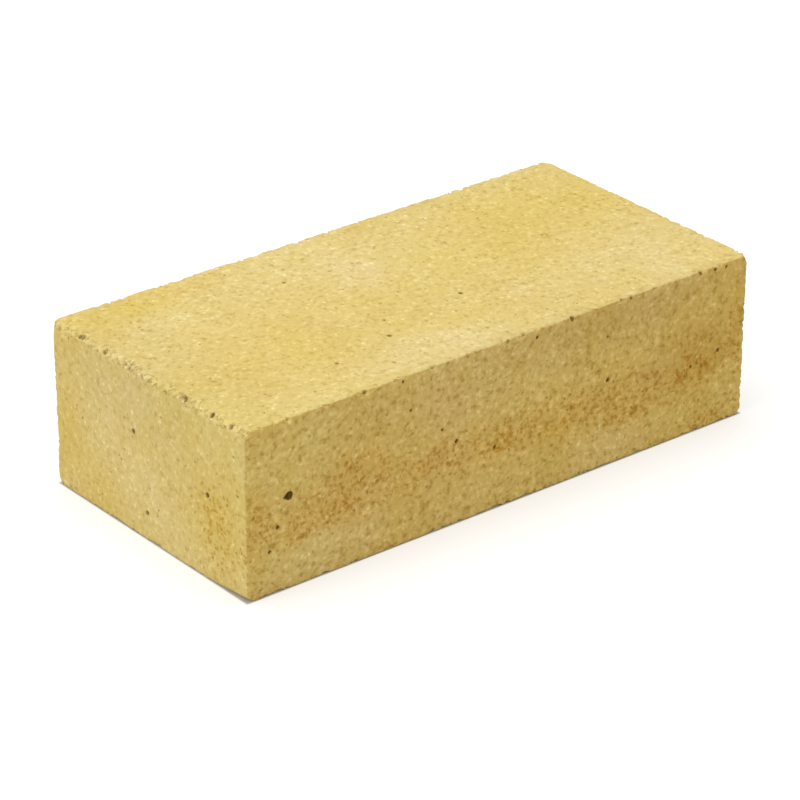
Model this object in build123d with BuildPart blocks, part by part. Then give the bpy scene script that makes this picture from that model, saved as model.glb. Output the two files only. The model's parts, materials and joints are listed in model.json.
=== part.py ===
"""Acid-resistant brick: one straight block of dense fired clay.

The brick lies on its bed. X runs along its length, Y across its width and Z up, and the
origin is the middle of the bed. The near end faces -X and the front stretcher faces -Y.
All lengths are in millimetres.
"""

import os
from math import hypot, sqrt

from build123d import *

# Standard straight format of acid-resistant bricks
brick_length = 230.0
brick_width = 113.0
brick_height = 65.0

# Wear from handling. The sharp block keeps only what it shares with a well rounded form
# that stands a little outside it. Where that form stands out less, more is gone from the
# arrises round that side, and the corners always lose more than the arrises.
rounded_radius = 4.5
near_end_stand = 1.2
far_end_stand = 1.13
front_stand = 1.2
back_stand = 1.18
bed_stand = 1.18
top_stand = 1.2
arris_softening = 0.35

# The top arris of the near end is rubbed down to a narrow band
rubbed_arris = (-1, 0, 1)
rubbed_height = 1.3
rubbed_depth = 1.9

# Corners that lost a flat flake, named by the signs of their three sides: how far the
# flake reached along X, Y and Z
flaked_corners = {
    (-1, -1, -1): (3.2, 23.0, 2.3),
    (-1, 1, 1): (1.2, 1.4, 8.0),
    (1, 1, 1): (2.4, 3.4, 2.0),
    (1, -1, 1): (2.4, 3.0, 3.0),
}

# Chips out of the arrises, named by the signs of the two sides they lie between: place
# along the arris from its middle, length, depth
arris_chips = {
    # front stretcher and top
    (0, -1, 1): [
        (-63.5, 2.6, 0.6),
        (-47.0, 2.2, 0.5),
        (-24.0, 3.0, 0.5),
        (-4.5, 2.4, 0.5),
        (13.5, 2.2, 0.6),
        (30.0, 3.4, 0.8),
        (58.0, 3.0, 0.5),
        (93.0, 5.0, 0.7),
        (101.0, 4.0, 0.8),
    ],
    # front stretcher and bed
    (0, -1, -1): [
        (-103.4, 9.6, 0.45),
        (-81.2, 6.1, 0.4),
        (-69.1, 3.5, 0.35),
        (-5.3, 8.0, 0.5),
        (8.4, 9.0, 0.45),
        (46.3, 10.4, 0.5),
        (64.1, 5.2, 0.55),
        (104.3, 5.7, 0.55),
    ],
    # near end and top, with the deep pore that opens in it
    (-1, 0, 1): [
        (-48.0, 4.0, 0.6),
        (-37.2, 2.4, 1.0),
        (-21.0, 5.0, 0.6),
        (-4.0, 4.0, 0.5),
        (11.0, 5.0, 0.7),
        (25.0, 4.0, 0.6),
        (40.0, 5.0, 0.6),
    ],
    # near end and bed
    (-1, 0, -1): [(-2.9, 8.0, 0.5), (19.9, 9.0, 0.4)],
    # near end and front stretcher
    (-1, -1, 0): [(-17.0, 2.0, 0.5), (-3.5, 3.0, 0.5), (12.0, 2.4, 0.4)],
    # near end and back stretcher
    (-1, 1, 0): [(-12.4, 9.0, 0.4), (3.1, 5.0, 0.35)],
    # far end and front stretcher
    (1, -1, 0): [(-27.0, 2.8, 0.35), (-4.4, 4.0, 0.35), (3.5, 3.7, 0.3)],
    # far end and top
    (1, 0, 1): [(2.3, 4.6, 0.35)],
    # far end and back stretcher
    (1, 1, 0): [(-8.0, 6.0, 0.5)],
    # back stretcher and top
    (0, 1, 1): [
        (-95.6, 4.0, 0.5),
        (-84.6, 4.5, 0.4),
        (-61.2, 5.0, 1.0),
        (-35.1, 2.7, 0.9),
        (-26.2, 7.0, 0.5),
        (-16.6, 6.5, 0.5),
        (-3.8, 3.6, 0.45),
        (37.0, 7.0, 0.35),
        (59.6, 6.0, 0.6),
        (91.0, 3.5, 0.5),
    ],
    # back stretcher and bed
    (0, 1, -1): [(-52.0, 6.0, 0.5), (37.0, 8.0, 0.6)],
}

# The larger open pores: place right and up from the middle of their face, width
pore_depth_share = 0.3
top_pores = [
    (-101.0, 48.0, 1.5),
    (-58.0, -33.5, 1.5),
    (-32.0, 30.5, 1.5),
    (-30.0, -27.5, 2.0),
    (-25.5, 39.5, 1.8),
    (-2.5, 28.5, 1.8),
    (12.0, -16.0, 1.8),
    (51.0, -3.0, 1.5),
]
front_pores = [
    (-101.5, -7.5, 1.5),
    (-96.5, 3.0, 3.4),
    (-23.0, 0.0, 1.5),
    (47.5, 2.0, 1.5),
    (102.0, -2.5, 1.5),
]
near_end_pores = [
    (-8.5, 7.3, 2.0),
    (-1.5, -21.8, 1.8),
    (34.5, 0.2, 2.0),
]

brick_size = (brick_length, brick_width, brick_height)
block_middle = Vector(0, 0, brick_height / 2)
stands = ((near_end_stand, far_end_stand), (front_stand, back_stand), (bed_stand, top_stand))
face_pores = [
    (Plane((0, 0, brick_height)), top_pores),
    (Plane((0, -brick_width / 2, brick_height / 2), (1, 0, 0), (0, -1, 0)), front_pores),
    (Plane((-brick_length / 2, 0, brick_height / 2), (0, -1, 0), (-1, 0, 0)), near_end_pores),
]


def side_point(signs, along=0.0, outward=0.0):
    """A point on the sharp block's corner or arris, or this far outside its sides."""
    return block_middle + Vector(
        *(sign * (size / 2 + outward) if sign else along for sign, size in zip(signs, brick_size))
    )


def scoop_radius(width, depth):
    """Radius of the ball that leaves a scoop this wide and this deep."""
    return (width**2 / 4 + depth**2) / (2 * depth)


def arris_loss(arris):
    """What rubbing or wear took off an arris, along the diagonal of its two sides."""
    if arris == rubbed_arris:
        return sqrt(2) * rubbed_height * rubbed_depth / (rubbed_height + rubbed_depth)
    reach = [rounded_radius - pair[sign > 0] for pair, sign in zip(stands, arris) if sign]
    return hypot(*reach) - rounded_radius


def scoop(centre, outward, along, radius):
    """Take a ball out of the part that is being built.

    The ball's seam and poles are turned away from the brick, so that they don't cut its face.
    """
    with Locations(Plane(centre, x_dir=outward, z_dir=along)):
        Sphere(radius, mode=Mode.SUBTRACT)


# What handling leaves of any block of this size: all arrises and corners well rounded
with BuildPart() as rounded_form:
    low_corner = Vector(*(-size / 2 - pair[0] for size, pair in zip(brick_size, stands)))
    high_corner = Vector(*(size / 2 + pair[1] for size, pair in zip(brick_size, stands)))
    with Locations(block_middle + (low_corner + high_corner) / 2):
        Box(*(high_corner - low_corner))
    fillet(rounded_form.edges(), rounded_radius)

with BuildPart() as brick:
    # The pressed block, sharp all round
    with BuildSketch():
        Rectangle(brick_length, brick_width)
    extrude(amount=brick_height)

    # The rubbed arris
    top_arrises = brick.edges().filter_by(Axis.Y).group_by(Axis.Z)[-1]
    chamfer(top_arrises.sort_by(Axis.X)[0], rubbed_height, rubbed_depth)

    # The flaked corners: each flake's plane meets the corner's three arrises at its reach
    for corner, reach in flaked_corners.items():
        on_arris = side_point(corner) - Vector(corner[0] * reach[0], 0, 0)
        outward = Vector(*(sign / distance for sign, distance in zip(corner, reach)))
        split(bisect_by=Plane(on_arris, z_dir=outward), keep=Keep.BOTTOM)

    # The worn arrises
    add(rounded_form.part, mode=Mode.INTERSECT)
    fillet(brick.edges(), arris_softening)

    # The chips in the arrises
    for arris, chips in arris_chips.items():
        arris_direction = Vector(*(not sign for sign in arris))
        for along, length, depth in chips:
            radius = scoop_radius(length, depth)
            outside = (radius - depth - arris_loss(arris)) / sqrt(2)
            scoop(side_point(arris, along, outside), Vector(*arris), arris_direction, radius)

    # The pores
    for face, pores in face_pores:
        for right, up, width in pores:
            depth = width * pore_depth_share
            radius = scoop_radius(width, depth)
            centre = face.from_local_coords((right, up, radius - depth))
            scoop(centre, face.z_dir, face.x_dir, radius)
brick.part.label = "brick"

os.makedirs("parts", exist_ok=True)
export_step(brick.part, "parts/brick.step")
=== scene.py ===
"""Acid-resistant brick: its fired finish, and a plain studio to look at it in."""

import json
import random
from math import pi, radians

import bpy
from mathutils import Euler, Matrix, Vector

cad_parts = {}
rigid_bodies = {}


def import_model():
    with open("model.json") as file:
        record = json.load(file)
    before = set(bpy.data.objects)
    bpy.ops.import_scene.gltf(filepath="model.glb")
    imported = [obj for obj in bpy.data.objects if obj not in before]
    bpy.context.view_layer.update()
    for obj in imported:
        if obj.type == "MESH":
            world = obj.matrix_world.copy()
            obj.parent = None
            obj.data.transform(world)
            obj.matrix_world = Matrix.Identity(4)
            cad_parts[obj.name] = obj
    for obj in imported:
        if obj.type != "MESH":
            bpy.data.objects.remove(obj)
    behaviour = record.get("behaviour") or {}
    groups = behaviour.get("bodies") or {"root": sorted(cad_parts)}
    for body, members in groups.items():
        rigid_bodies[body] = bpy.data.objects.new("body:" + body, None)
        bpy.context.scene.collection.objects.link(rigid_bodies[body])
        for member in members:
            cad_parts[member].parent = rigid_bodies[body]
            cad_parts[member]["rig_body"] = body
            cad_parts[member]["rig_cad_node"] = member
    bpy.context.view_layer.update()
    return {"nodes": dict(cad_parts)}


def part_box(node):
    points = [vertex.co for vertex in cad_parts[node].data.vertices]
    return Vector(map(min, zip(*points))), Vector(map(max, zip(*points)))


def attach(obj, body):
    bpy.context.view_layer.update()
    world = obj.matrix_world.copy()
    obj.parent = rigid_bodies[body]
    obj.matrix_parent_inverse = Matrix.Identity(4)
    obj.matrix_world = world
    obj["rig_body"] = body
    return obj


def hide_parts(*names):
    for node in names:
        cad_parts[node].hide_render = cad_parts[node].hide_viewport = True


bl_info = {
    "name": "Acid-Resistant Brick",
    "version": (1, 0, 0),
    "blender": (4, 5, 0),
    "location": "View3D > Sidebar > Brick",
    "description": "Weathers a straight buff brick and sets it in a plain studio",
    "category": "Object",
}

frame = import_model()
block_low, block_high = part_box("brick")
block_size = block_high - block_low
block_middle = (block_low + block_high) / 2

MM = 0.001

# Corners of the loose CAD triangles that lie closer than this are one corner
MERGE_DISTANCE = 0.001 * MM

# The six faces: which way each one looks, and which way is right on it when it is looked at
# from outside with the brick on its bed
FACES = {
    "top": ((0, 0, 1), (1, 0, 0)),
    "bed": ((0, 0, -1), (1, 0, 0)),
    "front": ((0, -1, 0), (1, 0, 0)),
    "back": ((0, 1, 0), (-1, 0, 0)),
    "near_end": ((-1, 0, 0), (0, -1, 0)),
    "far_end": ((1, 0, 0), (0, 1, 0)),
}

# Open pits, as place right and up from the middle of their face and width, in millimetres
FACE_PITS = {
    "top": [
        (-101.0, 48.0, 0.8),
        (-81.0, -25.5, 0.9),
        (-58.0, -33.5, 1.3),
        (-48.5, -44.0, 1.0),
        (-42.0, -45.0, 1.2),
        (-40.5, -20.0, 1.0),
        (-32.0, 30.5, 1.3),
        (-30.0, -27.5, 1.7),
        (-25.5, 39.5, 1.2),
        (-23.5, -16.5, 1.2),
        (-15.5, -4.5, 1.2),
        (-2.5, 28.5, 0.9),
        (1.0, -44.0, 1.2),
        (12.0, -16.0, 1.5),
        (13.0, 14.5, 1.2),
        (51.0, -3.0, 0.8),
        (76.5, 13.5, 0.9),
    ],
    "front": [
        (-113.0, -17.0, 0.9),
        (-105.0, -15.7, 1.4),
        (-101.5, -7.5, 1.5),
        (-98.2, 2.8, 1.3),
        (-96.4, 3.1, 2.8),
        (-63.5, 31.4, 1.5),
        (-58.0, 30.8, 1.0),
        (-47.0, 30.6, 1.2),
        (-43.5, 18.5, 1.2),
        (-29.5, 6.5, 1.2),
        (-24.5, 15.0, 0.9),
        (-24.0, 31.5, 1.2),
        (-23.0, 0.0, 1.6),
        (-18.0, 31.3, 1.1),
        (-5.5, -7.8, 1.3),
        (0.0, 31.4, 1.2),
        (13.5, 29.2, 1.3),
        (28.5, -4.0, 1.0),
        (30.0, 31.4, 1.8),
        (47.0, 19.5, 1.1),
        (47.5, 2.0, 1.6),
        (58.0, 31.3, 1.3),
        (88.5, -5.2, 1.2),
        (91.0, -5.8, 1.0),
        (92.0, 31.2, 1.5),
        (99.0, 31.0, 1.4),
        (102.0, -2.5, 1.5),
        (104.5, 30.6, 1.3),
    ],
    "near_end": [
        (-42.5, -3.8, 1.2),
        (-25.0, -17.3, 0.9),
        (-8.5, 7.3, 1.7),
        (-1.5, -21.8, 1.5),
        (5.5, -25.5, 1.3),
        (8.0, 21.5, 1.0),
        (34.5, 0.2, 1.7),
        (37.2, 31.6, 1.9),
        (40.0, -8.8, 1.0),
    ],
}

# The pebble that leaves a pit, as shares of the pit's width: its own width, how far its
# middle lies below the face, and its length, breadth and height. Its roughness is a share of
# its own width.
PIT_PEBBLE = 1.25
PIT_SINK = 0.36
PEBBLE_SHAPE = (1.1, 0.85, 1.0)
PEBBLE_ROUGHNESS = 0.08
PEBBLE_SEED = 4
PIT_SEED = 11

# How many pits are scattered over each face that the list above leaves out, their least,
# greatest and usual width, and how far they stay from the arrises, in millimetres
SCATTERED_PITS = {"back": 26, "far_end": 10, "bed": 20}
PIT_WIDTHS = (0.9, 2.4, 1.1)
PIT_MARGIN = 1.5

# How many small nicks are scattered along each side's top and bottom arrises, their least,
# greatest and usual width, how far from the arris their middles lie at most, in millimetres,
# and the share of the arris either way from its middle that has them
ARRIS_NICKS = {"front": 44, "back": 40, "near_end": 8, "far_end": 18}
NICK_WIDTHS = (0.8, 1.7, 1.1)
NICK_REACH = 0.9
NICK_SPAN = 0.49

# Height of the coarse grain of the faces, in millimetres
GRAIN_HEIGHT = 0.14

# Soft patches of another tone: the tone, the middle of the patch and its half-widths in
# millimetres, and how much of the tone it takes. Some of them are painted light and shade, as
# marked.
PATCHES = [
    ("iron_stain", (-86.0, -56.5, 24.0), (22.0, 16.0, 7.0), 0.85),
    ("iron_stain", (-64.0, -56.5, 34.0), (17.0, 14.0, 9.0), 0.6),
    ("iron_stain", (-34.0, -56.5, 27.0), (20.0, 16.0, 7.0), 0.7),
    ("iron_stain", (-4.0, -56.5, 25.0), (17.0, 16.0, 6.5), 0.9),
    ("iron_stain", (26.0, -56.5, 25.0), (14.0, 14.0, 6.0), 0.6),
    ("iron_stain", (56.0, -56.5, 20.0), (17.0, 15.0, 7.0), 0.7),
    ("iron_stain", (90.0, -56.5, 27.5), (17.0, 15.0, 6.0), 1.0),
    ("iron_stain", (95.0, -56.5, 4.0), (16.0, 8.0, 5.0), 0.5),
    ("iron_stain", (112.0, -56.5, 36.0), (5.0, 10.0, 16.0), 0.4),
    ("iron_stain", (-115.0, -41.0, 20.0), (12.0, 16.0, 22.0), 0.48),
    ("scorched", (88.0, -56.5, 32.0), (34.0, 12.0, 15.0), 0.7),
    ("scorched", (62.0, -56.5, 58.0), (60.0, 6.0, 9.0), 0.5),
    ("dusty_and_bounce_light", (-94.0, -56.5, 50.0), (28.0, 10.0, 17.0), 0.8),
    # Painted light: paler low on the front side, for the light that the floor throws onto it
    ("dusty_and_bounce_light", (-88.0, -56.5, 9.0), (36.0, 10.0, 10.0), 1.0),
    ("dusty_and_bounce_light", (8.0, -56.5, 47.0), (36.0, 10.0, 12.0), 0.35),
    # Painted light: paler low on the front side, for the light that the floor throws onto it
    ("dusty_and_bounce_light", (20.0, -56.5, 7.0), (100.0, 10.0, 12.0), 0.65),
    # Partly painted shade that dims the upper front, the upper near end and the top beside it,
    # partly greyer clay
    ("ashy_and_shade", (0.0, -56.5, 58.0), (120.0, 8.0, 18.0), 0.4),
    ("ashy_and_shade", (-115.0, 10.0, 60.0), (8.0, 50.0, 24.0), 0.5),
    ("pale", (-115.0, 18.0, 26.0), (8.0, 30.0, 18.0), 0.5),
    # Partly painted shade, partly greyer clay
    ("ashy_and_shade", (-102.0, 0.0, 65.0), (20.0, 70.0, 8.0), 0.4),
    ("pale", (-8.0, 20.0, 65.0), (13.0, 26.0, 10.0), 0.6),
    ("pale", (-28.0, -44.0, 65.0), (46.0, 13.0, 8.0), 0.65),
    ("pale", (98.0, -44.0, 65.0), (24.0, 16.0, 8.0), 0.55),
    ("pale", (29.0, -28.0, 65.0), (8.0, 7.0, 8.0), 0.5),
    ("ochre", (-80.0, 48.0, 65.0), (36.0, 9.0, 10.0), 0.7),
    ("ochre", (75.0, 16.0, 65.0), (52.0, 36.0, 10.0), 0.55),
    ("ochre", (-115.0, 50.0, 24.0), (10.0, 8.0, 16.0), 0.4),
    ("ochre", (-115.0, -46.0, 34.0), (10.0, 16.0, 30.0), 0.5),
]

# How far a patch is full, and where it is gone, as shares of its half-widths
PATCH_CORE = 0.35
PATCH_EDGE = 1.15

# Clouds of another tone over all faces: the tone, their size in millimetres, how strong
CLOUDS = [
    ("ochre", 60.0, 0.45),
    ("pale", 75.0, 0.4),
    ("dusty_and_bounce_light", 48.0, 0.35),
    ("scorched", 20.0, 0.15),
    ("ochre", 10.0, 0.25),
]

# How much of the long sides' painted shade, their darker and browner colour, the ends take
END_SIDE_SHADE = 0.1

# Where a side's own colour starts and where it is full, in millimetres from its arris. Less
# than zero is on the next side.
SIDE_BLEND = (-0.15, 0.35)

# The iron band round the long sides: how far above the bed it runs, and how far from there it
# is full and is gone, in millimetres, and how strong it is
IRON_BAND_HEIGHT = 27.0
IRON_BAND_CORE = 2.0
IRON_BAND_EDGE = 13.0
IRON_BAND_STRENGTH = 0.55

# How much of the iron stain's tint the ground takes, how much of the rusty tint the crumbs that
# took up the iron take, and the share of crumbs that did so where there is most iron
STAINED_GROUND = 0.65
RUSTED = 0.85
RUSTED_SHARE = 0.5

# Uneven crumbs of the body: their size in millimetres and how strongly each size shows
CRUMB_SIZES = [(0.8, 0.4), (1.5, 0.85), (2.8, 1.05), (5.0, 0.42), (9.0, 0.12), (16.0, 0.15)]

# How much sharp-edged crumbs add to them, how much more all crumbs show on the long sides,
# partly as painted light and shade of their relief, and how far from the usual tone the palest
# and the darkest crumbs are
SHARP_CRUMBS = 0.4
LONG_SIDE_GRAIN_AND_SHADE = 1.45
GRAIN_RANGE = 0.75

# Crumbs that stand out singly: the cells that they lie in and their radius in millimetres, the
# share of cells that has one without iron and with much of it, how strongly they show, and
# the shift of their pattern
SINGLE_CRUMBS = {
    "pale_crumb": dict(size=2.6, radius=0.85, shares=(0.26, 0.35), strength=0.75, shift=3.0),
    "dark_crumb_and_shade": dict(size=2.4, radius=0.7, shares=(0.16, 0.5), strength=0.8, shift=8.0),
    "iron_fleck": dict(size=2.9, radius=0.65, shares=(0.035, 0.26), strength=0.6, shift=5.0),
}
MUCH_IRON = 0.8

# How pale the crumbs of the rubbed arris are, and how much painted shade the crumbled lumps take
# on the flats and ends, and on the long sides
RUBBED_PALENESS = 0.35
LUMP_SHADES = (0.25, 0.9)

# Wear of the arrises that isn't a pit, in millimetres, and how far from the arris it is full
# and is gone
ARRIS_WEAR = 0.6
WORN_STRIP = (0.3, 2.4)

# Shade in the pits: the depths in millimetres between which it grows, and by how much
PIT_SHADES = [(0.15, 1.1, 0.72), (1.6, 2.8, 0.23)]

# Relief that is too fine for the mesh, in millimetres: the coarse and the fine grain, and
# the hollows of the rubbed arris
COARSE_BUMP = 0.42
FINE_BUMP = 0.04
HOLLOW_BUMP = 0.25

# The studio, in metres: the floor's side, and the place and side of each lamp
FLOOR_SIDE = 12.0
LAMPS = {
    "lamp_above": ((-0.15, 0.1, 1.6), 1.4),
    "lamp_left": ((-1.9, 0.1, 0.7), 1.2),
}
SENSOR_WIDTH = 36.0

# The paper's own grey and glow, and how far inside the brick's sides, in millimetres, the
# glow is still full and is gone. Less than zero is outside. Where the glow is gone, a thin
# painted contact shadow runs along the brick's foot.
PAPER_GREY = 0.7
PAPER_GLOW = 0.45
CONTACT_SHADOW_EDGE = (-0.4, 0.1)


class BrickForm(bpy.types.PropertyGroup):
    """Sizes of the relief that firing and handling left on the brick."""

    grain_size: bpy.props.FloatProperty(
        name="Grain Size",
        description="Side of the cells that the fired body is measured in before its relief",
        default=0.42 * MM,
        unit="LENGTH",
        precision=5,
    )
    crumble_depth: bpy.props.FloatProperty(
        name="Crumble Depth",
        description="Deepest loss from the arrises",
        default=0.6 * MM,
        unit="LENGTH",
        precision=5,
    )
    crumble_reach: bpy.props.FloatProperty(
        name="Crumble Reach",
        description="How far the crumbled strip reaches from an arris into its faces",
        default=1.6 * MM,
        unit="LENGTH",
        precision=5,
    )
    rub_depth: bpy.props.FloatProperty(
        name="Rub Depth",
        description="How far the hollows between the crumbs of the rubbed arris go down",
        default=0.45 * MM,
        unit="LENGTH",
        precision=5,
    )
    rub_reach: bpy.props.FloatProperty(
        name="Rub Reach",
        description="How far the rubbed strip reaches from the near end's top arris",
        default=4.2 * MM,
        unit="LENGTH",
        precision=5,
    )
    swell: bpy.props.FloatProperty(
        name="Face Swell",
        description="Height of the slow waves in the pressed faces",
        default=0.08 * MM,
        unit="LENGTH",
        precision=5,
    )
    triangle_limit: bpy.props.IntProperty(
        name="Triangle Limit",
        description="Most triangles that the finished brick may have",
        default=190000,
        min=20000,
    )


def tone(name, description, colour, brightest=1.0):
    """A colour that the panel shows and the clay's material reads."""
    return bpy.props.FloatVectorProperty(
        name=name,
        description=description,
        subtype="COLOR",
        size=4,
        min=0.0,
        max=brightest,
        default=(*colour, 1.0),
    )


def tint(name, description, ratio):
    """A colour that multiplies the one under it, so that one lightens and another darkens."""
    return tone(name, description, ratio, brightest=4.0)


class BrickClay(bpy.types.PropertyGroup):
    """Colours of the fired clay, and the tints that vary them."""

    buff: tone("Buff", "Main colour of the fired clay", (0.804, 0.618, 0.214))
    # Painted shade: the long sides' clay is darker and browner than the buff, for the shade of the
    # less-lit sides
    shaded_long_side: tone("Shaded Long Side", "The long sides, which the fire browned a little", (0.81, 0.558, 0.15))
    pale: tint("Pale", "Paler clouds in the body", (1.05, 1.075, 1.36))
    ochre: tint("Ochre", "Yellower clouds in the body", (0.965, 0.93, 0.69))
    # Also lays painted light low on the front side, for the light that the floor throws onto it
    dusty_and_bounce_light: tint("Dusty And Bounce Light", "Greyer clouds in the body", (1.04, 1.10, 1.24))
    # Partly painted shade that dims the upper parts of the brick, partly greyer clay
    ashy_and_shade: tint("Ashy And Shade", "Darker grey clouds in the body", (0.92, 0.94, 1.02))
    scorched: tint("Scorched", "Browner clouds in the body", (0.88, 0.83, 0.78))
    iron_stain: tint("Iron Stain", "Orange brown where iron came out", (0.92, 0.79, 0.55))
    rusty_crumb: tint("Rusty Crumb", "Crumbs that took up the iron", (0.80, 0.65, 0.42))
    pale_crumb: tint("Pale Crumb", "The palest crumbs of the body", (1.20, 1.27, 1.60))
    # Also lays painted shade into the notches where lumps are missing from the arrises
    dark_crumb_and_shade: tint("Dark Crumb And Shade", "The darker crumbs of the body", (0.72, 0.65, 0.46))
    iron_fleck: tone("Iron Fleck", "Small molten specks of iron", (0.26, 0.135, 0.03))
    hollow: tone("Hollow", "Shade and dirt down in the pits", (0.09, 0.05, 0.015))


class StudioPlan(bpy.types.PropertyGroup):
    """Camera, lamps and floor of the studio."""

    camera_place: bpy.props.FloatVectorProperty(
        name="Camera Place",
        description="Where the camera stands",
        subtype="XYZ",
        unit="LENGTH",
        default=(-0.7604, -0.9350, 0.6242),
    )
    camera_aim: bpy.props.FloatVectorProperty(
        name="Camera Aim",
        description="The point in the middle of the picture",
        subtype="XYZ",
        unit="LENGTH",
        default=(-0.0050, -0.0026, 0.02192),
    )
    camera_roll: bpy.props.FloatProperty(
        name="Camera Roll",
        description="How far the camera leans to its left",
        subtype="ANGLE",
        default=radians(0.174),
    )
    lens: bpy.props.FloatProperty(
        name="Lens",
        description="Focal length in millimetres on a sensor 36 mm wide",
        default=166.5,
    )
    sky_level: bpy.props.FloatProperty(
        name="Sky Level",
        description="Brightness of the surroundings on the brick",
        default=0.56,
    )
    lamp_above: bpy.props.FloatProperty(
        name="Lamp Above",
        description="Power of the soft lamp over the brick",
        default=11.5,
        unit="POWER",
    )
    lamp_left: bpy.props.FloatProperty(
        name="Lamp Left",
        description="Power of the soft lamp beside the near end",
        default=7.0,
        unit="POWER",
    )


def deselect_all():
    """Leave nothing selected, so that the next operator acts on one thing."""
    bpy.ops.object.select_all(action="DESELECT")


def select_only(piece):
    """Select this piece alone, and make it the active one."""
    deselect_all()
    piece.select_set(True)
    bpy.context.view_layer.objects.active = piece


def finish_modifier(piece, modifier):
    """Apply a modifier of the piece for good."""
    select_only(piece)
    bpy.ops.object.modifier_apply(modifier=modifier.name)


def add_node(tree, kind, inputs=None, **settings):
    """A node with its settings, and its inputs linked or set by name or number."""
    node = tree.nodes.new(kind)
    for name, value in settings.items():
        setattr(node, name, value)
    for name, value in (inputs or {}).items():
        if isinstance(value, bpy.types.NodeSocket):
            tree.links.new(value, node.inputs[name])
        else:
            node.inputs[name].default_value = value
    return node


class Maker:
    """Writes formulas as nodes, the same way for a relief and for a material."""

    def __init__(self, tree):
        self.tree = tree

    def math(self, operation, *values, clamp=False):
        node = add_node(
            self.tree,
            "ShaderNodeMath",
            dict(enumerate(values)),
            operation=operation,
            use_clamp=clamp,
        )
        return node.outputs[0]

    def vector(self, operation, *values, output="Vector"):
        node = add_node(
            self.tree, "ShaderNodeVectorMath", dict(enumerate(values)), operation=operation
        )
        return node.outputs[output]

    def scale(self, vector, factor):
        node = add_node(
            self.tree, "ShaderNodeVectorMath", {0: vector, "Scale": factor}, operation="SCALE"
        )
        return node.outputs["Vector"]

    def total(self, first, *others):
        for other in others:
            first = self.math("ADD", first, other)
        return first

    def product(self, first, *others):
        for other in others:
            first = self.math("MULTIPLY", first, other)
        return first

    def parts(self, vector):
        return add_node(self.tree, "ShaderNodeSeparateXYZ", {0: vector}).outputs

    def ramp(self, value, low, high, to_low=0.0, to_high=1.0):
        """A value carried smoothly from one range to another, and held at the ends."""
        node = add_node(
            self.tree,
            "ShaderNodeMapRange",
            {
                "Value": value,
                "From Min": low,
                "From Max": high,
                "To Min": to_low,
                "To Max": to_high,
            },
            interpolation_type="SMOOTHSTEP",
        )
        return node.outputs[0]

    def mix(self, factor, first, second):
        """One colour laid over another."""
        node = add_node(
            self.tree, "ShaderNodeMix", {0: factor, 6: first, 7: second}, data_type="RGBA"
        )
        return node.outputs[2]

    def tint(self, factor, colour, ratio):
        """A colour multiplied by a tint, as far as the factor says."""
        node = add_node(
            self.tree,
            "ShaderNodeMix",
            {0: factor, 6: colour, 7: tuple(ratio)},
            data_type="RGBA",
            blend_type="MULTIPLY",
        )
        return node.outputs[2]

    def noise(self, place, size, detail=2.0, roughness=0.5, shift=0.0, output="Fac"):
        """Noise from 0 to 1 whose patches are about this many millimetres across.

        The shift takes it from elsewhere, so that patterns of like size don't coincide.
        """
        moved = self.vector("ADD", place, (shift, shift * 0.7, -shift))
        node = add_node(
            self.tree,
            "ShaderNodeTexNoise",
            {"Vector": moved, "Scale": 1.0 / size, "Detail": detail, "Roughness": roughness},
        )
        return node.outputs[output]

    def blots(self, place, size, low, high, to_low=0.0, to_high=1.0, **pattern):
        """Noise carried from one range to another, which leaves blots with soft edges."""
        return self.ramp(self.noise(place, size, **pattern), low, high, to_low, to_high)

    def wander(self, place, size, reach, shift=0.0):
        """A place moved to and fro by up to about this reach, so that borders are uneven."""
        push = self.noise(place, size, detail=3.0, roughness=0.6, shift=shift, output="Color")
        centred = self.vector("SUBTRACT", push, (0.5, 0.5, 0.5))
        noise_to_reach = 4.0
        return self.vector("ADD", place, self.scale(centred, noise_to_reach * reach))

    def cells(self, place, size, shift=0.0):
        """Cells about this many millimetres across: the way to their middle, measured in
        cells, and a chance number for each one."""
        moved = self.vector("ADD", place, (shift, -shift, shift * 0.6))
        node = add_node(
            self.tree, "ShaderNodeTexVoronoi", {"Vector": moved, "Scale": 1.0 / size}, feature="F1"
        )
        return node.outputs["Distance"], self.parts(node.outputs["Color"])[0]

    def specks(self, place, size, radius, share, shift=0.0):
        """Round specks in this share of the cells, 1 at their middle and 0 outside them.

        The share may be a number or a socket, so that specks crowd where it is high.
        """
        distance, chance = self.cells(place, size, shift=shift)
        solid_part = 0.55
        body = self.ramp(distance, radius * solid_part / size, radius / size, 1.0, 0.0)
        return self.product(body, self.math("LESS_THAN", chance, share))

    def side_depths(self, place):
        """How far a place in millimetres lies inside the end, long and flat sides."""
        x, y, z = self.parts(place)
        half = [side / 2 / MM for side in block_size]
        ends = self.math("SUBTRACT", half[0], self.math("ABSOLUTE", x))
        longs = self.math("SUBTRACT", half[1], self.math("ABSOLUTE", y))
        above_middle = self.math("SUBTRACT", z, half[2])
        flats = self.math("SUBTRACT", half[2], self.math("ABSOLUTE", above_middle))
        return ends, longs, flats

    def arris_distance(self, ends, longs, flats):
        """The middle one of three depths: on a face, the way to its nearest arris."""
        lesser = self.math("MINIMUM", ends, longs)
        greater = self.math("MAXIMUM", ends, longs)
        return self.math("MAXIMUM", lesser, self.math("MINIMUM", greater, flats))

    def nearest_side(self, depth, *others):
        """One on the sides that this depth is measured from, and zero on the others."""
        margin = self.math("SUBTRACT", self.math("MINIMUM", *others), depth)
        return self.ramp(margin, *SIDE_BLEND)

    def crumbled_strip(self, place, arris, reach):
        """Lumps missing along every arris, more of them on some stretches than on others."""
        strip = self.ramp(arris, 0.0, reach, 1.0, 0.0)
        lumps = self.blots(place, size=2.1, low=0.46, high=0.62, detail=3.0, roughness=0.6)
        stretches = self.blots(
            place, size=20.0, low=0.4, high=0.6, to_low=0.4, detail=1.0, shift=70.0
        )
        return self.product(strip, lumps, stretches)

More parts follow.
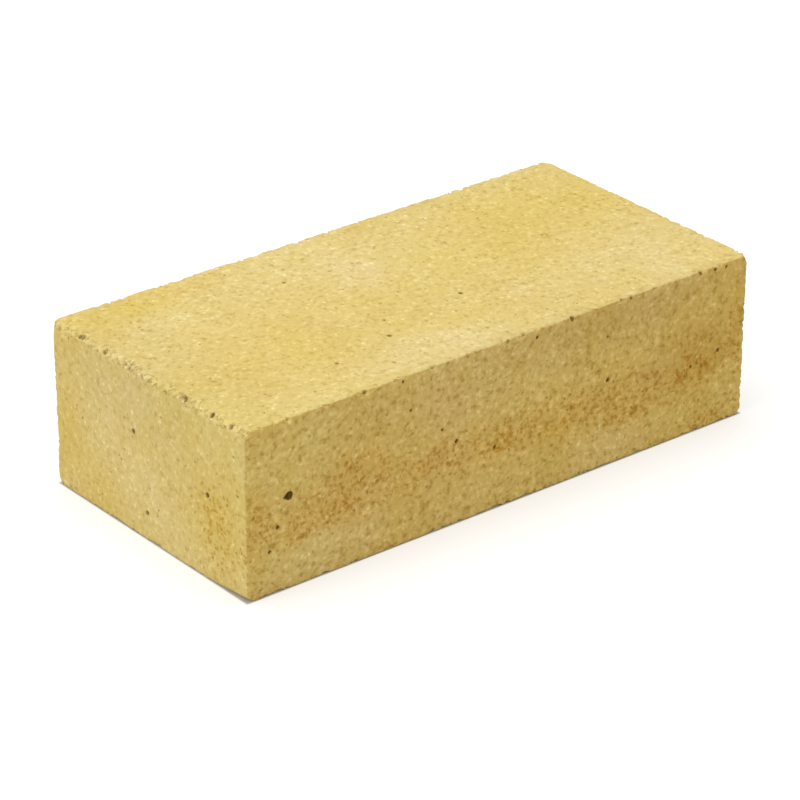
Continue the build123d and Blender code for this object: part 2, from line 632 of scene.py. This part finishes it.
    def rubbed_strip(self, place, reach):
        """One along the top arris of the near end, and zero past the strip's reach."""
        full = reach * 0.3
        x, _, z = self.parts(self.wander(place, size=5.0, reach=full, shift=51.0))
        from_end = self.math("ADD", x, block_size.x / 2 / MM)
        from_top = self.math("SUBTRACT", block_size.z / MM, z)
        from_arris = self.math("MAXIMUM", from_end, from_top)
        return self.ramp(from_arris, full, reach, 1.0, 0.0)

    def rubbed_hollows(self, place):
        """Hollows between the crumbs of the rubbed strip, where crumbs are missing."""
        return self.blots(place, size=1.7, low=0.49, high=0.61, roughness=0.55, shift=9.0)


def relief_group(form, smooth_brick):
    """Geometry nodes that wear a finely meshed brick down, only ever inwards.

    The finished mesh carries an attribute for the clay to read: how deep it lies, in
    millimetres, below a skin stretched over the smooth brick and across its chips and pores.
    """
    tree = bpy.data.node_groups.new("fired_relief", "GeometryNodeTree")
    tree.interface.new_socket("Brick", in_out="INPUT", socket_type="NodeSocketGeometry")
    tree.interface.new_socket("Brick", in_out="OUTPUT", socket_type="NodeSocketGeometry")
    entry = tree.nodes.new("NodeGroupInput")
    result = tree.nodes.new("NodeGroupOutput")
    maker = Maker(tree)
    position = tree.nodes.new("GeometryNodeInputPosition").outputs[0]
    normal = tree.nodes.new("GeometryNodeInputNormal").outputs[0]
    place = maker.scale(position, 1 / MM)
    arris = maker.arris_distance(*maker.side_depths(place))

    # The arrises
    lumps = maker.crumbled_strip(place, arris, form.crumble_reach / MM)
    crumble = maker.product(lumps, form.crumble_depth / MM)

    # The rubbed top arris of the near end
    rub = maker.rubbed_strip(place, form.rub_reach / MM)
    rubbed = maker.product(rub, maker.rubbed_hollows(place), form.rub_depth / MM)

    # Slow waves of the pressed faces, and their coarse grain
    waves = maker.product(maker.noise(place, size=38.0), form.swell / MM)
    grain = maker.product(maker.noise(place, size=2.4, roughness=0.6, shift=33.0), GRAIN_HEIGHT)

    depth = maker.total(crumble, rubbed, waves, grain)
    offset = maker.scale(normal, maker.product(depth, -MM))
    worn = add_node(
        tree, "GeometryNodeSetPosition", {"Geometry": entry.outputs[0], "Offset": offset}
    )
    smooth = add_node(tree, "GeometryNodeObjectInfo", {"Object": smooth_brick})
    skin = add_node(tree, "GeometryNodeConvexHull", {0: smooth.outputs["Geometry"]})
    below = add_node(
        tree, "GeometryNodeProximity", {"Geometry": skin.outputs[0]}, target_element="FACES"
    )
    kept = add_node(
        tree,
        "GeometryNodeStoreNamedAttribute",
        {
            "Geometry": worn.outputs[0],
            "Name": "depth",
            "Value": maker.product(below.outputs["Distance"], 1 / MM),
        },
        data_type="FLOAT",
        domain="POINT",
    )
    tree.links.new(kept.outputs[0], result.inputs[0])
    return tree


def patch(maker, place, middle, half_widths):
    """A soft patch round a place: one in its core, and zero past its edge."""
    apart = maker.vector("SUBTRACT", place, middle)
    share = maker.vector("DIVIDE", apart, half_widths)
    from_middle = maker.vector("LENGTH", share, output="Value")
    return maker.ramp(from_middle, PATCH_CORE, PATCH_EDGE, 1.0, 0.0)


def body_colour(maker, place, clay):
    """Cloudy colour of the body with some painted light and shade, how much iron stains it, and
    where the long sides are.
    """
    ends, longs, flats = maker.side_depths(place)
    stretcher = maker.nearest_side(longs, ends, flats)
    header = maker.nearest_side(ends, longs, flats)
    # Painted shade: the long sides, and a little of the ends, take the darker, browner clay
    painted_shade = maker.total(stretcher, maker.product(header, END_SIDE_SHADE))
    colour = maker.mix(painted_shade, tuple(clay.buff), tuple(clay.shaded_long_side))

    # Clouds over all faces
    for order, (name, size, strength) in enumerate(CLOUDS):
        cloud = maker.blots(place, size, low=0.44, high=0.66, detail=1.5, shift=40.0 * order)
        colour = maker.tint(maker.product(cloud, strength), colour, getattr(clay, name))

    # Listed patches, some of them painted light and shade, with uneven borders
    pushed = maker.wander(place, size=22.0, reach=3.5, shift=12.0)
    pushed = maker.wander(pushed, size=6.0, reach=2.5, shift=25.0)
    iron = 0.0
    for name, middle, half_widths, strength in PATCHES:
        spread = maker.product(patch(maker, pushed, middle, half_widths), strength)
        if name == "iron_stain":
            iron = maker.math("MAXIMUM", spread, iron)
        else:
            colour = maker.tint(spread, colour, getattr(clay, name))

    # A weak iron band round the middle of the long sides, broken up by noise
    _, _, z = maker.parts(pushed)
    off_band = maker.math("ABSOLUTE", maker.math("SUBTRACT", z, IRON_BAND_HEIGHT))
    band = maker.ramp(off_band, IRON_BAND_CORE, IRON_BAND_EDGE, IRON_BAND_STRENGTH, 0.0)
    broken = maker.blots(place, size=24.0, low=0.36, high=0.6, to_low=0.3, shift=130.0)
    iron = maker.math("MAXIMUM", iron, maker.product(band, broken, stretcher))
    mottled = maker.blots(
        place, size=2.8, low=0.4, high=0.58, to_low=0.35, detail=3.0, roughness=0.7, shift=61.0
    )
    iron = maker.product(iron, mottled)
    colour = maker.tint(maker.product(iron, STAINED_GROUND), colour, clay.iron_stain)
    return colour, iron, stretcher


def single_crumbs(maker, place, iron, size, radius, shares, strength, shift):
    """Crumbs that stand out singly, and more of them where there is iron."""
    share = maker.ramp(iron, 0.0, MUCH_IRON, *shares)
    return maker.product(maker.specks(place, size, radius, share, shift=shift), strength)


def grained_colour(maker, place, clay, colour, iron, stretcher):
    """The body's colour broken up by its crumbs, from coarse to fine."""
    grain = 0.0
    for size, weight in CRUMB_SIZES:
        pattern = maker.noise(place, size, detail=1.0, shift=3.0 * size)
        crumbs = maker.math("SUBTRACT", pattern, 0.5)
        grain = maker.total(maker.product(crumbs, weight), grain)
    uneven = maker.wander(place, size=1.2, reach=0.25, shift=4.0)
    _, chance = maker.cells(uneven, size=1.4, shift=14.0)
    sharp = maker.product(maker.math("SUBTRACT", chance, 0.5), SHARP_CRUMBS)
    grain = maker.total(sharp, grain)
    # Stronger grain on the long sides: partly more crumbs, partly painted light and shade of the
    # grain's relief
    grain = maker.product(grain, maker.ramp(stretcher, 0.0, 1.0, 1.0, LONG_SIDE_GRAIN_AND_SHADE))
    colour = maker.tint(maker.ramp(grain, 0.0, GRAIN_RANGE), colour, clay.pale_crumb)
    colour = maker.tint(maker.ramp(grain, -GRAIN_RANGE, 0.0, 1.0, 0.0), colour, clay.dark_crumb_and_shade)

    # Iron took to some crumbs and left others
    _, luck = maker.cells(uneven, size=1.25, shift=31.0)
    rusted = maker.math("LESS_THAN", luck, maker.product(iron, RUSTED_SHARE))
    colour = maker.tint(maker.product(rusted, RUSTED), colour, clay.rusty_crumb)

    for name in ("pale_crumb", "dark_crumb_and_shade"):
        crumbs = single_crumbs(maker, uneven, iron, **SINGLE_CRUMBS[name])
        colour = maker.tint(crumbs, colour, getattr(clay, name))
    flecks = single_crumbs(maker, uneven, iron, **SINGLE_CRUMBS["iron_fleck"])
    return maker.mix(flecks, colour, tuple(clay.iron_fleck))


def worn_and_shaded_colour(maker, place, clay, form, colour, stretcher):
    """The clay's colour with its wear and with shade painted into the pits and crumbled arrises,
    and the rubbed arris's hollows.
    """
    # Pale crumbs on the rubbed arris
    rub = maker.rubbed_strip(place, form.rub_reach / MM)
    hollows = maker.product(rub, maker.rubbed_hollows(place))
    paler = maker.product(rub, RUBBED_PALENESS)
    crumbs = maker.math("SUBTRACT", paler, hollows, clamp=True)
    colour = maker.tint(crumbs, colour, clay.pale_crumb)

    # Painted shade where lumps are missing from the arrises, stronger on the long sides
    arris = maker.arris_distance(*maker.side_depths(place))
    lumps = maker.crumbled_strip(place, arris, form.crumble_reach / MM)
    shaded_lumps = maker.product(lumps, maker.ramp(stretcher, 0.0, 1.0, *LUMP_SHADES))
    colour = maker.tint(shaded_lumps, colour, clay.dark_crumb_and_shade)

    # Shade and dirt in the pits and hollows
    depth = add_node(maker.tree, "ShaderNodeAttribute", attribute_name="depth").outputs["Fac"]
    wear = maker.ramp(arris, *WORN_STRIP, ARRIS_WEAR, 0.0)
    open_depth = maker.math("SUBTRACT", depth, wear)
    shades = [maker.ramp(open_depth, low, high, 0.0, most) for low, high, most in PIT_SHADES]
    return maker.mix(maker.total(*shades), colour, tuple(clay.hollow)), hollows


def fired_clay(clay, form):
    """Matt buff clay: cloudy body colour, fine grain, flecks, iron stains, and shade painted into
    the pits, the notches and the long sides.
    """
    material = bpy.data.materials.new("fired_clay")
    material.use_nodes = True
    tree = material.node_tree
    tree.nodes.clear()
    maker = Maker(tree)
    coordinates = tree.nodes.new("ShaderNodeTexCoord")
    place = maker.scale(coordinates.outputs["Object"], 1 / MM)

    colour, iron, stretcher = body_colour(maker, place, clay)
    colour = grained_colour(maker, place, clay, colour, iron, stretcher)
    colour, hollows = worn_and_shaded_colour(maker, place, clay, form, colour, stretcher)

    # Grain too fine for the mesh
    coarse_noise = maker.noise(place, size=2.4, detail=3.0, roughness=0.7, shift=17.0)
    fine_noise = maker.noise(place, size=0.6, roughness=0.6, shift=90.0)
    coarse = maker.product(coarse_noise, COARSE_BUMP)
    fine = maker.product(fine_noise, FINE_BUMP)
    sunk = maker.product(hollows, HOLLOW_BUMP)
    height = maker.math("SUBTRACT", maker.total(coarse, fine), sunk)
    bump = add_node(
        tree, "ShaderNodeBump", {"Height": height, "Strength": 1.0, "Distance": 1.0 * MM}
    )
    shader = add_node(
        tree,
        "ShaderNodeBsdfPrincipled",
        {
            "Base Color": colour,
            "Normal": bump.outputs[0],
            "Roughness": 0.92,
            "Specular IOR Level": 0.15,
        },
    )
    output = tree.nodes.new("ShaderNodeOutputMaterial")
    tree.links.new(shader.outputs[0], output.inputs[0])
    return material


def face_point(face, right, up, sink):
    """A point on a face, from millimetres right and up of its middle, sunk into the brick."""
    outward, rightward = (Vector(direction) for direction in FACES[face])
    upward = outward.cross(rightward)
    half = block_size / 2
    middle = Vector(side * direction for side, direction in zip(half, outward))
    offset = rightward * right + upward * up - outward * sink
    return block_middle + middle + offset * MM


def brick_pits(chance):
    """Every pit: its middle and its width in metres."""
    pits = []
    for face, places in FACE_PITS.items():
        pits += [(face, *pit) for pit in places]
    for face, count in SCATTERED_PITS.items():
        rightward = Vector(FACES[face][1])
        upward = Vector(FACES[face][0]).cross(rightward)
        reach = [abs(block_size.dot(way)) / 2 / MM - PIT_MARGIN for way in (rightward, upward)]
        for _ in range(count):
            right, up = (chance.uniform(-limit, limit) for limit in reach)
            pits.append((face, right, up, chance.triangular(*PIT_WIDTHS)))
    for face, count in ARRIS_NICKS.items():
        length = abs(block_size.dot(Vector(FACES[face][1]))) / MM
        for _ in range(count):
            right = chance.uniform(-NICK_SPAN, NICK_SPAN) * length
            up_or_down = chance.choice((1, -1))
            up = up_or_down * (block_size.z / 2 / MM - chance.uniform(0.0, NICK_REACH))
            pits.append((face, right, up, chance.triangular(*NICK_WIDTHS)))
    return [
        (face_point(face, right, up, PIT_SINK * width), PIT_PEBBLE * width * MM)
        for face, right, up, width in pits
    ]


def pit_cutter(chance):
    """One rough pebble, copied to every pit with another size and turn, and all joined."""
    deselect_all()
    bpy.ops.mesh.primitive_ico_sphere_add(subdivisions=2, radius=0.5)
    pebble = bpy.context.view_layer.objects.active
    bpy.ops.object.mode_set(mode="EDIT")
    bpy.ops.mesh.select_all(action="SELECT")
    bpy.ops.transform.vertex_random(offset=PEBBLE_ROUGHNESS, seed=PEBBLE_SEED)
    bpy.ops.object.mode_set(mode="OBJECT")
    copies = []
    for place, width in brick_pits(chance):
        select_only(pebble)
        bpy.ops.object.duplicate()
        copy = bpy.context.view_layer.objects.active
        copy.location = place
        copy.rotation_euler = Euler(chance.uniform(0.0, 2 * pi) for _ in range(3))
        copy.scale = [width * share for share in PEBBLE_SHAPE]
        copies.append(copy)
    select_only(pebble)
    bpy.ops.object.delete()
    for copy in copies:
        copy.select_set(True)
    bpy.context.view_layer.objects.active = copies[0]
    bpy.ops.object.join()
    return copies[0]


class BRICK_OT_fired_brick(bpy.types.Operator):
    """Model the brick as it came out of the kiln, with its worn arrises and its clay"""

    bl_idname = "brick.fired_brick"
    bl_label = "Fired Brick"

    def execute(self, context):
        form = context.scene.brick_form
        source = frame["nodes"]["brick"]
        select_only(source)
        bpy.ops.object.duplicate()
        brick = context.view_layer.objects.active
        if brick is source:
            raise RuntimeError("the brick could not be copied")
        brick.name = "fired_brick"
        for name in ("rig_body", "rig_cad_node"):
            del brick[name]
        brick.parent = None
        select_only(brick)
        bpy.ops.object.mode_set(mode="EDIT")
        bpy.ops.mesh.select_all(action="SELECT")
        bpy.ops.mesh.remove_doubles(threshold=MERGE_DISTANCE)
        bpy.ops.object.mode_set(mode="OBJECT")

        cutter = pit_cutter(random.Random(PIT_SEED))
        pitted = brick.modifiers.new("Pits", "BOOLEAN")
        pitted.operation = "DIFFERENCE"
        pitted.solver = "EXACT"
        pitted.use_self = True
        pitted.object = cutter
        finish_modifier(brick, pitted)
        select_only(cutter)
        bpy.ops.object.delete()

        cells = brick.modifiers.new("Fine Mesh", "REMESH")
        cells.mode = "VOXEL"
        cells.voxel_size = form.grain_size
        finish_modifier(brick, cells)

        relief = brick.modifiers.new("Relief", "NODES")
        relief.node_group = relief_group(form, source)
        finish_modifier(brick, relief)

        thinned = brick.modifiers.new("Thinned", "DECIMATE")
        triangles = 2 * len(brick.data.polygons)
        thinned.ratio = min(1.0, form.triangle_limit / triangles)
        finish_modifier(brick, thinned)
        select_only(brick)
        bpy.ops.object.shade_smooth()

        brick.data.materials.clear()
        brick.data.materials.append(fired_clay(context.scene.brick_clay, form))
        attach(brick, "root")
        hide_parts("brick")
        return {"FINISHED"}


def area_lamp(name, place, size, power):
    """A soft square lamp that looks at the brick."""
    bpy.ops.object.light_add(type="AREA", location=place)
    lamp = bpy.context.view_layer.objects.active
    lamp.name = name
    lamp.data.shape = "SQUARE"
    lamp.data.size = size
    lamp.data.energy = power
    lamp.rotation_euler = (block_middle - Vector(place)).to_track_quat("-Z", "Y").to_euler()


def seen_by_camera(maker):
    """One where the camera, a mirror or a glass looks straight at the surface, else zero."""
    path = maker.tree.nodes.new("ShaderNodeLightPath")
    seen = maker.math("MAXIMUM", path.outputs["Is Camera Ray"], path.outputs["Is Glossy Ray"])
    return maker.math("MAXIMUM", seen, path.outputs["Is Transmission Ray"])


def floor_paper():
    """White paper that shows as white where it is lit and still takes a shadow.

    Its own glow fades out at the brick's sides, which paints a thin dark contact shadow there over
    the real one.
    """
    material = bpy.data.materials.new("floor_paper")
    material.use_nodes = True
    tree = material.node_tree
    tree.nodes.clear()
    maker = Maker(tree)
    grey = (PAPER_GREY, PAPER_GREY, PAPER_GREY, 1.0)
    paper = add_node(tree, "ShaderNodeBsdfDiffuse", {"Color": grey})
    coordinates = tree.nodes.new("ShaderNodeTexCoord")
    place = maker.scale(coordinates.outputs["Object"], 1 / MM)
    ends, longs, _ = maker.side_depths(place)
    under_brick = maker.math("MINIMUM", ends, longs)
    # Painted contact shadow: the glow is taken away in a thin strip along the brick's sides
    glow_past_contact_shadow = maker.ramp(under_brick, *CONTACT_SHADOW_EDGE, 1.0, 0.0)
    strength = maker.product(seen_by_camera(maker), glow_past_contact_shadow, PAPER_GLOW)
    glow = add_node(
        tree, "ShaderNodeEmission", {"Color": (1.0, 1.0, 1.0, 1.0), "Strength": strength}
    )
    both = add_node(tree, "ShaderNodeAddShader", {0: paper.outputs[0], 1: glow.outputs[0]})
    output = tree.nodes.new("ShaderNodeOutputMaterial")
    tree.links.new(both.outputs[0], output.inputs[0])
    return material


def studio_world(scene, sky_level):
    """Even pale surroundings, white to the eye."""
    world = bpy.data.worlds.new("studio")
    scene.world = world
    world.use_nodes = True
    tree = world.node_tree
    tree.nodes.clear()
    maker = Maker(tree)
    level = maker.ramp(seen_by_camera(maker), 0.0, 1.0, sky_level, 1.0)
    glow = add_node(
        tree, "ShaderNodeBackground", {"Color": (1.0, 1.0, 1.0, 1.0), "Strength": level}
    )
    output = tree.nodes.new("ShaderNodeOutputWorld")
    tree.links.new(glow.outputs[0], output.inputs[0])


class BRICK_OT_stage(bpy.types.Operator):
    """Set the brick on a white floor under soft lamps, and place the camera"""

    bl_idname = "brick.stage"
    bl_label = "Studio Stage"

    def execute(self, context):
        scene = context.scene
        plan = scene.studio_plan
        scene.view_settings.view_transform = "Standard"
        studio_world(scene, plan.sky_level)

        deselect_all()
        bpy.ops.mesh.primitive_plane_add(size=FLOOR_SIDE, location=(0.0, 0.0, 0.0))
        floor = context.view_layer.objects.active
        floor.name = "studio_floor"
        floor.data.materials.append(floor_paper())

        for name, (place, side) in LAMPS.items():
            area_lamp(name, place, side, getattr(plan, name))

        bpy.ops.object.camera_add(location=plan.camera_place)
        camera = context.view_layer.objects.active
        look = Vector(plan.camera_aim) - Vector(plan.camera_place)
        camera.rotation_euler = look.to_track_quat("-Z", "Y").to_euler()
        camera.rotation_euler.rotate_axis("Z", plan.camera_roll)
        camera.data.lens = plan.lens
        camera.data.sensor_width = SENSOR_WIDTH
        scene.camera = camera
        return {"FINISHED"}


class BRICK_PT_panel(bpy.types.Panel):
    """The brick's sizes, colours and steps"""

    bl_label = "Brick"
    bl_idname = "BRICK_PT_panel"
    bl_space_type = "VIEW_3D"
    bl_region_type = "UI"
    bl_category = "Brick"

    def draw(self, context):
        layout = self.layout
        scene = context.scene
        for group in (scene.brick_form, scene.brick_clay, scene.studio_plan):
            box = layout.box()
            for name in group.bl_rna.properties.keys():
                if name not in {"rna_type", "name"}:
                    box.prop(group, name)
        layout.operator(BRICK_OT_fired_brick.bl_idname)
        layout.operator(BRICK_OT_stage.bl_idname)


classes = (
    BrickForm,
    BrickClay,
    StudioPlan,
    BRICK_OT_fired_brick,
    BRICK_OT_stage,
    BRICK_PT_panel,
)


def register():
    for item in classes:
        bpy.utils.register_class(item)
    bpy.types.Scene.brick_form = bpy.props.PointerProperty(type=BrickForm)
    bpy.types.Scene.brick_clay = bpy.props.PointerProperty(type=BrickClay)
    bpy.types.Scene.studio_plan = bpy.props.PointerProperty(type=StudioPlan)


def unregister():
    del bpy.types.Scene.studio_plan
    del bpy.types.Scene.brick_clay
    del bpy.types.Scene.brick_form
    for item in reversed(classes):
        bpy.utils.unregister_class(item)


def main():
    register()
    bpy.ops.brick.stage()
    bpy.ops.brick.fired_brick()


if __name__ == "__main__":
    main()
